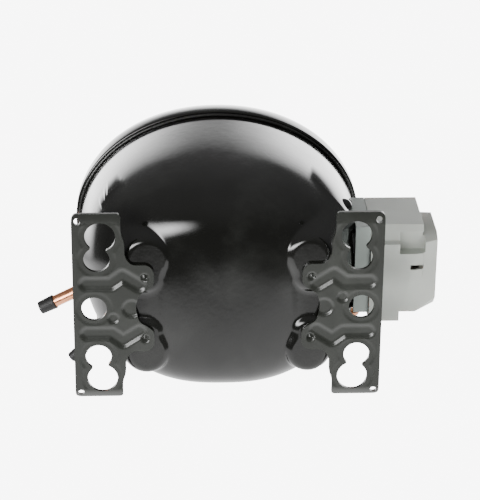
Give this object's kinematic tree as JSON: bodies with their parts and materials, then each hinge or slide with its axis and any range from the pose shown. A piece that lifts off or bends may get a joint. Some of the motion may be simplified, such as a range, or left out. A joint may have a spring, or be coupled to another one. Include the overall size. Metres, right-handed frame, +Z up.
{
  "type": "hermetic reciprocating compressor",
  "caption": "Hermetic reciprocating compressor: welded oval steel shell on stamped base plates, plug-on terminal box, copper tubes, and a spring-hung motor, crank, yoke and piston inside.",
  "frame": {"origin": "centre of the metric mounting-hole pattern, on the underside of the base plates", "axes": "+Z up out of the base plates along the crankshaft, +X along the shell's length towards the terminal box, +Y towards the side with the suction tube's foot"},
  "size_m": [0.2725, 0.1616, 0.2],
  "materials": {
    "shell_paint": "satin black enamel",
    "plate_paint": "semi-gloss dark enamel",
    "copper": "drawn copper",
    "cap_rubber": "matt black rubber",
    "header_steel": "plated",
    "seal_glass": "fused glass",
    "holder_plastic": "fine grain",
    "cover_plastic": "fine grain",
    "relay_plastic": "moulded",
    "protector_black": "moulded phenolic",
    "screw_zinc": "zinc plated",
    "spring_steel": "spring steel",
    "nylon": "natural nylon",
    "lamination": "stacked electrical steel",
    "winding": "enamelled and laced copper wire",
    "cast_aluminium": "as cast",
    "grey_iron": "cast and machined",
    "machined_steel": "ground",
    "gasket": "fibre sheet",
    "plug_brass": "turned",
    "lead_sleeve": "varnished sleeving"
  },
  "bodies": {
    "shell": {"lower_shell": "shell_paint", "upper_shell": "shell_paint", "weld_seam": "shell_paint", "base_plate_left": "plate_paint", "base_plate_right": "plate_paint", "suction_tube": "copper", "process_tube": "copper", "discharge_tube": "copper", "terminal_fence": "shell_paint", "terminal_body": "header_steel", "terminal_glass": "seal_glass", "terminal_pins": "header_steel", "relay_holder": "holder_plastic", "start_relay": "relay_plastic", "overload_protector": "protector_black", "ground_screw": "screw_zinc", "spring_studs": "screw_zinc", "suspension_springs": "spring_steel", "discharge_loop": "machined_steel", "cluster_block": "nylon", "motor_leads": "lead_sleeve"},
    "suction_shipping_cap": {"suction_cap": "cap_rubber"},
    "process_shipping_cap": {"process_cap": "cap_rubber"},
    "discharge_shipping_cap": {"discharge_cap": "cap_rubber"},
    "cover": {"terminal_cover": "cover_plastic"},
    "pump_unit": {"spring_caps": "nylon", "stator_core": "lamination", "stator_winding": "winding", "stator_bolts": "screw_zinc", "cylinder_block": "grey_iron", "thrust_washer": "spring_steel", "valve_gasket": "gasket", "valve_plate": "machined_steel", "reed_stop": "spring_steel", "head_gasket": "gasket", "cylinder_head": "cast_aluminium", "head_bolts": "screw_zinc", "suction_muffler": "nylon", "discharge_muffler": "grey_iron"},
    "crank": {"crankshaft": "machined_steel", "oil_pickup": "machined_steel", "rotor_core": "lamination", "rotor_rings": "cast_aluminium", "balance_weight": "grey_iron"},
    "plug": {"gallery_plug": "plug_brass"},
    "slide": {"slide_block": "machined_steel"},
    "yoke_and_piston": {"yoke": "machined_steel", "piston": "machined_steel"},
    "suction_valve": {"suction_reed": "spring_steel"},
    "discharge_valve": {"discharge_reed": "spring_steel"}
  },
  "joints": [
    {"name": "suspension_bounce", "type": "slide", "parent": "shell", "child": "pump_unit", "axis": [0, 0, 1], "range_m": [-0.002, 0.002], "stiffness_N_per_m": 25000, "springref_m": 0.00239, "deforming": ["suspension_springs", "discharge_loop", "motor_leads"]},
    {"name": "crankshaft_spin", "type": "hinge", "parent": "pump_unit", "child": "crank", "pos_m": [-0.003, -0.0045, 0.1], "axis": [0, 0, 1], "continuous": true},
    {"name": "slide_block_turn", "type": "hinge", "parent": "crank", "child": "slide", "pos_m": [0.006, -0.0045, 0.138], "axis": [0, 0, 1], "continuous": true},
    {"name": "gallery_plug_turn", "type": "hinge", "parent": "crank", "child": "plug", "pos_m": [0.0015, -0.0045, 0.149], "axis": [0, 0, 1], "continuous": true},
    {"name": "yoke_stroke", "type": "hinge", "parent": "plug", "child": "yoke_and_piston", "pos_m": [0.006, -0.0045, 0.138], "axis": [0, 0, 1], "continuous": true},
    {"name": "suction_reed_lift", "type": "hinge", "parent": "pump_unit", "child": "suction_valve", "pos_m": [-0.0626, -0.01, 0.129], "axis": [0, 1, 0], "range_deg": [0, 3], "stiffness_Nm_per_rad": 0.02},
    {"name": "discharge_reed_lift", "type": "hinge", "parent": "pump_unit", "child": "discharge_valve", "pos_m": [-0.0666, 0.001, 0.129], "axis": [0, -1, 0], "range_deg": [0, 5], "stiffness_Nm_per_rad": 0.03},
    {"name": "cover_pull", "type": "slide", "parent": "shell", "child": "cover", "axis": [1, 0, 0], "range_m": [0, 0.05]},
    {"name": "suction_cap_pull", "type": "slide", "parent": "shell", "child": "suction_shipping_cap", "axis": [-0.8942, 0.4478, 0], "range_m": [0, 0.014]},
    {"name": "process_cap_pull", "type": "slide", "parent": "shell", "child": "process_shipping_cap", "axis": [-0.7408, 0.6717, 0], "range_m": [0, 0.014]},
    {"name": "discharge_cap_pull", "type": "slide", "parent": "shell", "child": "discharge_shipping_cap", "axis": [0, 0, 1], "range_m": [0, 0.014]}
  ],
  "couplings": [
    {"joint": "slide_block_turn", "follows": "crankshaft_spin", "ratio": -1},
    {"joint": "gallery_plug_turn", "follows": "crankshaft_spin", "ratio": -2},
    {"joint": "yoke_stroke", "follows": "crankshaft_spin", "ratio": 1}
  ]
}
